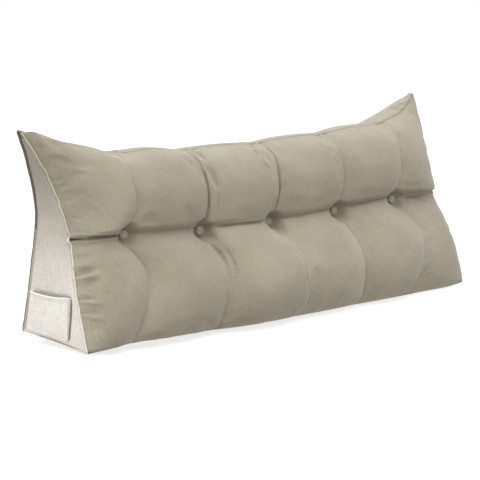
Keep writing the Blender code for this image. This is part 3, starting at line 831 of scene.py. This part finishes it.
def swelled_by(skin):
    """How far the filling moves each point of the cover, apart from the broad shape."""
    shape = cushion_points(skin.u, skin.back, skin.place)
    faces = skin.faces()
    sewn = (skin.u == 0) | (skin.u == len(PUFFS)) | (skin.place == 0)
    on_front = (skin.back == 0) & (skin.u > 0) & (skin.u < len(PUFFS))
    fold = 1 - ease(np.abs(skin.u - np.round(skin.u)) / FOLD_CALM)
    held = np.maximum(FOLD_HOLD * fold, tuft_pull(shape))
    held = np.maximum(held, WAIST_HOLD * np.exp(-((skin.place - WAIST_PLACE) / WAIST_HELD) ** 2)) * on_front
    held = np.where(sewn, 1.0, held)
    slack = np.where(sewn, 0, SLACK * (1 - held))
    move = filled(shape - point_normals(shape, faces) * slack[:, None], faces, held) - shape
    move -= spread(move, faces, SPREAD_ROUNDS)
    far = np.linalg.norm(move, axis=1, keepdims=True)
    move *= np.minimum(1, TRAVEL / np.maximum(far, 1e-9))
    level = sum(np.exp(-((skin.place - middle) / WAIST_CALM) ** 2) for middle in (WAIST_PLACE, 0))
    button = 1 - ease(from_button(shape) / BUTTON_CALM)
    calm = clamp(np.maximum(np.maximum(fold, level), button)) * on_front
    return move * np.where(sewn, 0, lerp(FREE_MOVE, CALM_MOVE, calm))[:, None]


def build_cushion():
    cuts = lattice()
    coarse, fine = Skin(*cuts), Skin(*(halve(cut) for cut in cuts))
    points = cushion_points(fine.u, fine.back, fine.place)
    points += carry_over(coarse, fine, swelled_by(coarse))
    front, behind = fine.side("front"), fine.side("behind")
    grid = points[front]
    cloth = np.stack((grid[..., 0], arc(grid)), axis=-1)
    points[behind, 1] += back_sag(points[behind], fine)
    height = crease_heights(cloth, (fine.cuts[0], fine.cuts[2]))
    bed = tuft_pull(grid.reshape(-1, 3)).reshape(height.shape)
    height *= 1 - ease((bed - 0.5) * 2)
    points[front] += point_normals(points, fine.faces())[front] * height[..., None]
    points[:, 2] = np.maximum(points[:, 2], np.where(fine.place == 0, 0.0, GAP))
    piece = mesh_piece("cushion_cover", points, fine.faces(), FRONT_CLOTH, cloth_corners(fine, points))
    finish_piece(piece, "front_cloth", "cushion")


build_cushion()


def end_points(side, back, place):
    u = 0 if side < 0 else len(PUFFS)
    return cushion_points(u, back, place)


PANEL_COLUMNS = 28
PANEL_ROWS = 96
SEAM_MARGIN = 0.0050
PANEL_TOP = 0.986
PANEL_CLOTH = 0.0014
PANEL_STAND = 0.0012     # how far the panel stands off the filling where nothing pulls it
PANEL_EDGE = 0.004
PANEL_INSET = 0.46       # the most that it is drawn in at its narrow top, as a share of the depth
Swelling = namedtuple("Swelling", "height z lean width reach", defaults=(math.inf,))
SWELLINGS = (            # soft folds and troughs that lean across the panel, from its front seam inward
    Swelling(0.0020, 0.258, 0.45, 0.016, 0.060),
    Swelling(-0.0010, 0.232, -0.30, 0.012, 0.045),
    Swelling(0.0011, 0.345, -0.15, 0.030),
    Swelling(0.0016, 0.160, 0.10, 0.045),
)
RIPPLES = ((0.0005, 0.014), (0.0004, 0.012))    # at the front seam and the back one: height and reach


def panel_relief(side, y, z):
    """Soft troughs and swellings of an end panel, pulled at its waist and along its seams."""
    inward = y - wedge_line(z)
    relief = PANEL_STAND
    for fold in SWELLINGS:
        off = (z - fold.z - fold.lean * inward) / fold.width
        relief = relief + fold.height * np.exp(-off ** 2) * np.exp(-inward / fold.reach)
    ripple = np.sin(z * 410 + side) * np.sin(z * 187 + 1.7 * side)
    for (height, reach), away in zip(RIPPLES, (inward, BACK_Y - y)):
        relief += height * ripple * np.exp(-away / reach)
    return relief


def build_end_panel(name, side):
    share = np.linspace(0, 1, PANEL_COLUMNS + 1)[:, None]
    low = SEAM_MARGIN / HEIGHT
    place = np.linspace(low, PANEL_TOP, PANEL_ROWS + 1)[None, :]
    at_front = end_points(side, 0.0, place)[..., 1]
    inset = np.minimum(SEAM_MARGIN / (BACK_Y - at_front), PANEL_INSET)
    points = end_points(side, lerp(inset, 1 - inset, share), place)
    relief = panel_relief(side, points[..., 1], points[..., 2])
    edge = ease(np.minimum(share, 1 - share) * (BACK_Y - at_front) / PANEL_EDGE)
    points[..., 0] += side * (GAP + relief * edge)
    piece = cloth_piece(name, points, points[..., 1:], SIDE_CLOTH, PANEL_CLOTH, side < 0)
    finish_piece(piece, "side_cloth", name.replace("panel_cloth", "end_panel"))


build_end_panel("panel_cloth_left", -1)
build_end_panel("panel_cloth_right", 1)


# Corded seams

CORD_RADIUS = 0.0021
CORD_SIDES = 12
CORD_STEP = 0.0032
CORD_ENDS = (0.004, 0.992)      # the places on the front and back sheets that it turns at
CORD_BESIDE = 0.035             # the sheet's lie is read this far in, in puffs
INSIDE = ((0.08, 0.92), (0.03, 0.97))    # and the end face's lie towards this part of it
CORD_WANDER = 0.0004
CORD_WAVES = 23
TWISTS = ((0.05, 61, 0.0), (0.04, 97, 1.3))     # how much it thickens, how often, and from where
CORD_SEAT = 0.9          # the cord's middle stands this many radii off the corner that it covers
BACK_CORD = 1.4          # how much thicker the cord behind is, which is painted dark as shade
LIGHT_SIDE_TOP = 0.265   # below this the front of the cord behind is left light and the rest painted dark as shade, as far round as this
LIGHT_SIDE = 0.35
CORD_BEHIND = 0.012      # the cord counts as behind within this of the back
KINKS_FROM = 0.004       # the kinks fade from this far behind the front seam, over this
KINKS_TO = 0.010
Kink = namedtuple("Kink", "z x y size swelling")
KINKS = (                # on the left front seam: where the cord is pulled aside, and thickened
    Kink(0.2480, -0.0058, 0.0010, 0.0070, 0.75),
    Kink(0.2600, 0.0026, -0.0010, 0.0050, 0.10),
    Kink(0.2360, 0.0022, 0.0, 0.0050, 0.20),
    Kink(0.3370, 0.0016, 0.0, 0.0060, 0.15),
    Kink(0.3520, -0.0014, 0.0, 0.0050, 0.0),
    Kink(0.4020, 0.0018, 0.0, 0.0060, 0.15),
    Kink(0.1750, -0.0012, 0.0, 0.0070, 0.10),
    Kink(0.1080, 0.0014, 0.0, 0.0080, 0.10),
)


def seam_route():
    """The cord's line round an end, as (back, place), from the front foot up and round."""
    up = np.linspace(*CORD_ENDS, 150)
    route = [(0.0, place) for place in up]
    route += [(0.25, 1.0), (0.75, 1.0)]
    route += [(1.0, place) for place in up[::-1]]
    route += [(back, 0.0) for back in np.linspace(0.985, 0.015, 60)]
    return np.array(route)


def round_line(points, rounds=4):
    """A closed line with evenly spaced points, smoothed a little, with their distances along it."""
    closed = np.concatenate((points, points[:1]))
    length = np.concatenate(([0], np.cumsum(np.linalg.norm(np.diff(closed, axis=0), axis=1))))
    steps = int(length[-1] / CORD_STEP)
    even = np.linspace(0, length[-1], steps, endpoint=False)
    line = np.stack([np.interp(even, length, closed[:, axis]) for axis in range(3)], axis=-1)
    for _ in range(rounds):
        line = lerp(line, (np.roll(line, 1, axis=0) + np.roll(line, -1, axis=0)) / 2, 0.5)
    return line, even, length[-1]


def cord_line(side):
    """The cord's middle: it sits outside the corner between the end's face and the sheets."""
    route = seam_route()
    end = 0.0 if side < 0 else float(len(PUFFS))
    beside = end - side * CORD_BESIDE
    here = cushion_points(end, route[:, 0], route[:, 1])
    over_end = unit(cushion_points(end, *(np.clip(route[:, axis], *INSIDE[axis]) for axis in (0, 1))) - here)
    over_sheet = unit(cushion_points(beside, route[:, 0], route[:, 1]) - here)
    return round_line(here - unit(over_end + over_sheet) * CORD_RADIUS * CORD_SEAT)


def build_cord(name, node, side):
    line, even, total = cord_line(side)
    tangent = unit(np.roll(line, -1, axis=0) - np.roll(line, 1, axis=0))
    turn = even / total * 2 * math.pi
    swelling = 1 + sum(size * np.sin(turn * often + start) for size, often, start in TWISTS)
    if side < 0:
        in_front = 1 - ease((line[:, 1] - wedge_line(line[:, 2]) - KINKS_FROM) / KINKS_TO)
        for kink in KINKS:
            pull = np.exp(-((line[:, 2] - kink.z) / kink.size) ** 2) * in_front
            line[:, :2] += np.array((kink.x, kink.y)) * pull[:, None]
            swelling += kink.swelling * pull
    behind = (line[:, 1] > BACK_Y - CORD_BEHIND) & (line[:, 2] > BACK_FOOT_Z)
    radius = CORD_RADIUS * swelling * np.where(behind, BACK_CORD, 1)
    points = tube_points(line, tangent, (1.0, 0.0, 0.0), radius, CORD_SIDES,
                         CORD_WANDER * np.sin(turn * CORD_WAVES + side))
    grid = tube_grid(len(line), CORD_SIDES)
    faces = quads(np.concatenate((grid, grid[:1])), True)
    angle = np.linspace(0, 2 * math.pi, CORD_SIDES + 1)
    length, around = np.broadcast_arrays(np.append(even, total)[:, None], angle * CORD_RADIUS)
    bias = quads(np.stack((length + around, length - around), axis=-1), True)
    piece = mesh_piece(name, points.reshape(-1, 3), faces, SEAM_CLOTH, bias)
    # painted shade: the cord behind takes the dark cloth, all but a lit strip low on its front
    piece.data.materials.append(PAINTED_SHADE_CLOTH)
    facing = angle[:-1] + math.pi / CORD_SIDES
    to_front = np.cos(facing) - side * np.sin(facing) > LIGHT_SIDE
    dark = behind[:, None] & ~(to_front & (line[:, 2] < LIGHT_SIDE_TOP)[:, None])
    piece.data.polygons.foreach_set("material_index", dark.ravel().astype(np.int32))
    finish_piece(piece, "cord_cloth", node)


build_cord("seam_left", "seam_cord_left", -1)
build_cord("seam_right", "seam_cord_right", 1)


# Buttons

BUTTON_RADIUS = 0.0125 * 0.975      # drawn in a little at the rim
BUTTON_DOME = 0.0070
BUTTON_BACK = 0.0020
BUTTON_RIM = 0.80        # the share of the profile from the middle to the rim; the rest turns under
BUTTON_TURN = 0.62       # how far round the profile goes, in half turns
BUTTON_SHOULDER = 0.75
BUTTON_DISH = 0.0011
BUTTON_DISH_REACH = 0.30
BUTTON_RINGS = 20
BUTTON_SIDES = 48
GATHER_FROM = 0.45
GATHER_OVER = 0.4
GATHERS = ((0.022, 13, 1), (0.012, 7, 2))        # depth, how many go round, and their turn a button


def build_button(index, tuft):
    """A covered button: a shallow dome, gathered over its rim, with a slight dish in the middle."""
    angle = np.linspace(0, 2 * math.pi, BUTTON_SIDES, endpoint=False)
    profile = np.linspace(0, 1, BUTTON_RINGS)
    depth = BUTTON_DOME * np.cos(clamp(profile / BUTTON_RIM) * math.pi / 2) ** BUTTON_SHOULDER
    depth -= BUTTON_DISH * np.exp(-(profile / BUTTON_DISH_REACH) ** 2)
    depth = np.where(profile > BUTTON_RIM, -BUTTON_BACK * (profile - BUTTON_RIM) / (1 - BUTTON_RIM), depth)
    outward = ease((profile[:, None] - GATHER_FROM) / GATHER_OVER)
    gather = 1 + sum(size * np.sin(angle * count + turn * index) * outward for size, count, turn in GATHERS)
    around = np.sin(profile * math.pi * BUTTON_TURN)[:, None] * gather * BUTTON_RADIUS
    x = tuft.x + around * np.cos(angle)
    z = tuft.z + around * np.sin(angle)
    y = DIMPLE_Y - BUTTON_BACK - GAP - np.broadcast_to(depth[:, None], x.shape)
    points = np.stack((x, y, z), axis=-1)
    points[0] = points[0].mean(axis=0)
    grid = tube_grid(BUTTON_RINGS, BUTTON_SIDES)
    bm = bmesh.new()
    made = [bm.verts.new(point) for point in points.reshape(-1, 3)]
    for face in [*quads(grid), grid[-1, :-1]]:
        bm.faces.new([made[number] for number in face])
    bmesh.ops.remove_doubles(bm, verts=bm.verts, dist=1e-6)
    bmesh.ops.recalc_face_normals(bm, faces=bm.faces)
    layer = bm.loops.layers.uv.new("cloth")
    for face in bm.faces:
        for loop in face.loops:
            loop[layer].uv = (loop.vert.co.x, loop.vert.co.z)
    mesh = bpy.data.meshes.new(f"covered_button_{index}")
    bm.to_mesh(mesh)
    bm.free()
    mesh.materials.append(BUTTON_CLOTH)
    mesh.shade_smooth()
    piece = bpy.data.objects.new(mesh.name, mesh)
    bpy.context.scene.collection.objects.link(piece)
    finish_piece(piece, "front_cloth", f"button_{index}")


for number, tuft in enumerate(TUFTS, start=1):
    build_button(number, tuft)


# Side pocket

POCKET_FRONT = -0.038
POCKET_BACK = 0.090
POCKET_FOOT = 0.009
POCKET_MOUTH = 0.122
MOUTH_DIP = 0.004
MOUTH_STAND = 0.0195
POCKET_SQUARENESS = 4.0
POCKET_RISE = 0.6
POCKET_COLUMNS = 64
POCKET_ROWS = 48
POCKET_CLOTH = 0.0015
POCKET_SEAT = 0.002 + 2 * GAP    # how far its edges stand off the end's face, over the panel
HEM = 0.0075
FACE_ROUNDS = 14         # of a search for the place on the end's face


def end_face_x(y, z):
    """The x of the left end's face at each y and z."""
    back = np.full(np.shape(y), 0.5)
    place = np.asarray(z) / HEIGHT
    for _ in range(FACE_ROUNDS):
        point = end_points(-1, back, place)
        back = clamp(back + (y - point[..., 1]) / (BACK_Y - wedge_line(point[..., 2])))
        place = clamp(place + (z - point[..., 2]) / HEIGHT)
    return end_points(-1, back, place)[..., 0]


def pocket_points(across, up):
    y = lerp(POCKET_FRONT, POCKET_BACK, across)
    foot = POCKET_FOOT + lerp(FRONT_ROWS[0].end_z, BACK_FOOT_Z, (y - FRONT_Y) / BASE_DEPTH)
    mouth = POCKET_MOUTH - MOUTH_DIP * np.sin(math.pi * across)
    z = lerp(foot, mouth, up)
    belly = (1 - np.abs(2 * across - 1) ** POCKET_SQUARENESS) ** (1 / POCKET_SQUARENESS)
    stand = MOUTH_STAND * belly * np.sin(math.pi / 2 * up) ** POCKET_RISE
    return np.stack((end_face_x(y, z) - POCKET_SEAT - stand, y, z), axis=-1)


def open_tube(line, radius, sides=10):
    """A tube along an open line, closed at both ends, as points and quads."""
    width = np.broadcast_to(radius, len(line)).astype(float)
    width[[0, -1]] *= 0.15
    points = tube_points(line, unit(np.gradient(line, axis=0)), (1.0, 0.02, 0.03), width, sides)
    return points.reshape(-1, 3), quads(tube_grid(len(line), sides), True)


def joined(tubes):
    """Several tubes as the points and faces of one mesh."""
    points, faces, start = [], [], 0
    for tube_points, tube_faces in tubes:
        points.append(tube_points)
        faces.append(tube_faces + start)
        start += len(tube_points)
    return np.concatenate(points), np.concatenate(faces)


def on_pocket(across, up, out):
    """A line on the pocket's outside, standing this far off it."""
    across, up = np.broadcast_arrays(np.asarray(across, float), np.asarray(up, float))
    line = pocket_points(across, up)
    line[..., 0] -= POCKET_CLOTH + out
    return line


HEM_RADIUS = 0.0022
BINDING_RADIUS = 0.0019
BINDING_IN = 0.012       # how far in from the pocket's edges it runs, as a share of their length
EDGE_RADIUS = 0.0021
EDGE_STEP = 0.0036       # how far in front of the binding the dark tube of painted shadow lies
STITCH_STEP = 0.0042
STITCH_LENGTH = 0.0028
STITCH_RADIUS = 0.0006
STITCH_ARCH = 0.0003
STITCH_DROP = HEM + 0.0014
STITCH_WANDER = 0.0004
STITCHED = 0.94          # the share of the mouth that the stitches run along, and where they start
STITCHED_FROM = 0.03


def pocket_stitches():
    height = POCKET_MOUTH - POCKET_FOOT
    width = POCKET_BACK - POCKET_FRONT
    arch = STITCH_ARCH * np.sin(math.pi * np.linspace(0, 1, 5))
    for number in range(int(width * STITCHED / STITCH_STEP)):
        start = STITCHED_FROM + number * STITCH_STEP / width
        span = np.linspace(start, start + STITCH_LENGTH / width, 5)
        row = 1 - (STITCH_DROP + STITCH_WANDER * math.sin(number * 1.7)) / height
        yield open_tube(on_pocket(span, row, arch), STITCH_RADIUS, 6)


def build_pocket_trims():
    """The rolled hem of the mouth, the binding round the other three edges, the hem's stitches and
    a dark tube in front of the binding that is painted shadow."""
    wobble = 1 + 0.07 * np.sin(np.linspace(0, 60, 60)) * np.sin(np.linspace(0, 17, 60))
    hem = open_tube(on_pocket(np.linspace(0.004, 0.996, 60), 1.0, 0.0004), HEM_RADIUS * wobble)
    down = np.linspace(1.0, 0.03, 40)
    binding = np.concatenate((on_pocket(BINDING_IN, down, -0.0006),
                              on_pocket(np.linspace(0.03, 0.97, 50), BINDING_IN, -0.0004),
                              on_pocket(1 - BINDING_IN, down[::-1], -0.0006)))
    binding = open_tube(binding, BINDING_RADIUS * (1 + 0.08 * np.sin(np.arange(len(binding)) * 0.9)))
    # painted shadow: a dark tube where the binding shades the panel
    painted_shadow_edge = on_pocket(0.0, np.linspace(0.97, 0.04, 40), -0.0016)
    painted_shadow_edge[:, 1] -= EDGE_STEP
    trims = []
    for name, tubes, material, slot in (
            ("pocket_hem", (hem, binding), HEM_CLOTH, "side_cloth"),
            ("pocket_stitches", tuple(pocket_stitches()), THREAD, "side_cloth"),
            ("pocket_edge_shadow", (open_tube(painted_shadow_edge, EDGE_RADIUS),), PAINTED_SHADE_CLOTH, "cord_cloth")):
        points, faces = joined(tubes)
        trims.append(finish_piece(mesh_piece(name, points, faces, material, points[:, 1:][faces]), slot))
    return trims


PUFF_HEIGHT = 0.0005
SAG = 0.0012
HEM_STAND = 0.0010
HEM_STEP = 0.0012


def build_pocket():
    across = np.linspace(0, 1, POCKET_COLUMNS + 1)[:, None]
    up = np.linspace(0, 1, POCKET_ROWS + 1)[None, :]
    across, up = np.broadcast_arrays((across - 0.5 * np.sin(2 * math.pi * across) / (2 * math.pi)), up)
    points = pocket_points(across, up)
    drop = points[:, -1:, 2] - points[..., 2]
    hem = 1 - ease((drop - HEM) / HEM_STEP + 0.5)
    puff = PUFF_HEIGHT * np.sin(points[..., 1] * 330) * ease(across * 8) * ease((1 - across) * 8)
    sag = SAG * np.sin(math.pi * across) * np.exp(-((up - 0.55) / 0.25) ** 2)
    points[..., 0] -= HEM_STAND * hem + puff * up + sag
    cloth = np.stack((points[..., 1], arc(points)), axis=-1)
    piece = cloth_piece("pocket_cloth", points, cloth, POCKET_LINEN, POCKET_CLOTH, True)
    finish_piece(piece, "side_cloth", "side_pocket")
    build_pocket_trims()


build_pocket()


# The floor, the light and the camera

FLOOR_GLOW = 0.74
GLOW = 0.34
GLOW_BELOW = 0.69
BOUNCE_COLOR = (1.0, 0.965, 0.88)
HORIZON = 0.12           # the glow changes from below to above over this much either side of level
Sun = namedtuple("Sun", "name energy source spread color")
SUNS = (
    Sun("sun", 3.4, (-0.12, -0.36, 1.0), 75, (1.0, 0.985, 0.96)),
    Sun("behind", 1.9, (0.15, 0.75, 0.62), 40, (0.92, 0.97, 1.0)),
)
LOW_LEFT = 0.85
LOW_LEFT_AT = Vector((-1.02, 0.03, 0.05))
LOW_LEFT_TO = Vector((-0.65, 0.0, 0.05))


def build_stage():
    bm = bmesh.new()
    bmesh.ops.create_grid(bm, x_segments=2, y_segments=2, size=12)
    mesh = bpy.data.meshes.new("floor")
    bm.to_mesh(mesh)
    bm.free()
    material = bpy.data.materials.new("floor_paper")
    tree = Tree(material)
    tree.feed(tree.nodes["Principled BSDF"], {
        "Base Color": (0.35, 0.35, 0.35, 1), "Emission Color": (1, 1, 1, 1),
        "Emission Strength": FLOOR_GLOW, "Roughness": 0.95, "Specular IOR Level": 0.1})
    mesh.materials.append(material)
    floor = bpy.data.objects.new("floor", mesh)
    floor.location.z = -0.0002
    floor.visible_diffuse = False
    bpy.context.scene.collection.objects.link(floor)
    floor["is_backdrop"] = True


def add_light(name, kind, energy, direction, **settings):
    data = bpy.data.lights.new(name, kind)
    data.energy = energy
    for setting, value in settings.items():
        setattr(data, setting, value)
    light = bpy.data.objects.new(name, data)
    light.rotation_euler = direction.to_track_quat("Z", "Y").to_euler()
    bpy.context.scene.collection.objects.link(light)
    return light


def build_light():
    """A white studio: a broad soft sun from above, a weaker one from behind, a dimmer glow from all
    around and a small lamp low on the left."""
    world = bpy.data.worlds.new("studio")
    tree = Tree(world)
    height = tree.split(tree.add("TexCoord").outputs["Generated"], "Z")
    level = {"Value": height, "From Min": -HORIZON, "From Max": HORIZON}
    share = tree.add("MapRange", level).outputs["Result"]
    strength = tree.add("MapRange", {**level, "To Min": GLOW_BELOW, "To Max": GLOW}).outputs["Result"]
    glow = tree.feed(tree.nodes["Background"], {
        "Color": tree.mix("MIX", share, BOUNCE_COLOR, WHITE), "Strength": strength})
    paper = tree.add("Background", {"Color": (1, 1, 1, 1), "Strength": 1.0})
    chosen = tree.add("MixShader", {"Fac": tree.add("LightPath").outputs["Is Camera Ray"],
                                    1: glow.outputs["Background"], 2: paper.outputs["Background"]})
    tree.feed(tree.nodes["World Output"], {"Surface": chosen.outputs["Shader"]})
    bpy.context.scene.world = world
    for sun in SUNS:
        add_light(sun.name, "SUN", sun.energy, Vector(sun.source),
                  angle=math.radians(sun.spread), color=sun.color)
    lamp = add_light("low_left", "AREA", LOW_LEFT, LOW_LEFT_AT - LOW_LEFT_TO, shape="DISK", size=0.20)
    lamp.location = LOW_LEFT_AT
    lamp.visible_camera = False


CAMERA_AT = (-3.429, -3.478, 0.983)
CAMERA_TURNS = (43.97, -9.342, 0.252)    # yaw, pitch and roll in degrees
CAMERA_REACH = 1965 / 480                # the lens in widths of the picture
SENSOR = 36


def build_camera():
    yaw, pitch, roll = map(math.radians, CAMERA_TURNS)
    forward = Vector((math.sin(yaw) * math.cos(pitch), math.cos(yaw) * math.cos(pitch), math.sin(pitch)))
    level = Vector((math.cos(yaw), -math.sin(yaw), 0))
    rise = level.cross(forward)
    right = level * math.cos(roll) + rise * math.sin(roll)
    up = rise * math.cos(roll) - level * math.sin(roll)
    data = bpy.data.cameras.new("camera")
    data.sensor_width = SENSOR
    data.lens = CAMERA_REACH * SENSOR
    camera = bpy.data.objects.new("camera", data)
    camera.matrix_world = Matrix.Translation(CAMERA_AT) @ Matrix(
        (right, up, -forward)).transposed().to_4x4()
    bpy.context.scene.collection.objects.link(camera)
    bpy.context.scene.camera = camera


build_stage()
build_light()
build_camera()
bpy.context.scene.view_settings.view_transform = "Standard"

plain = [[float(value) for corner in box for value in corner] for box in (CAD_BOX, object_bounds())]
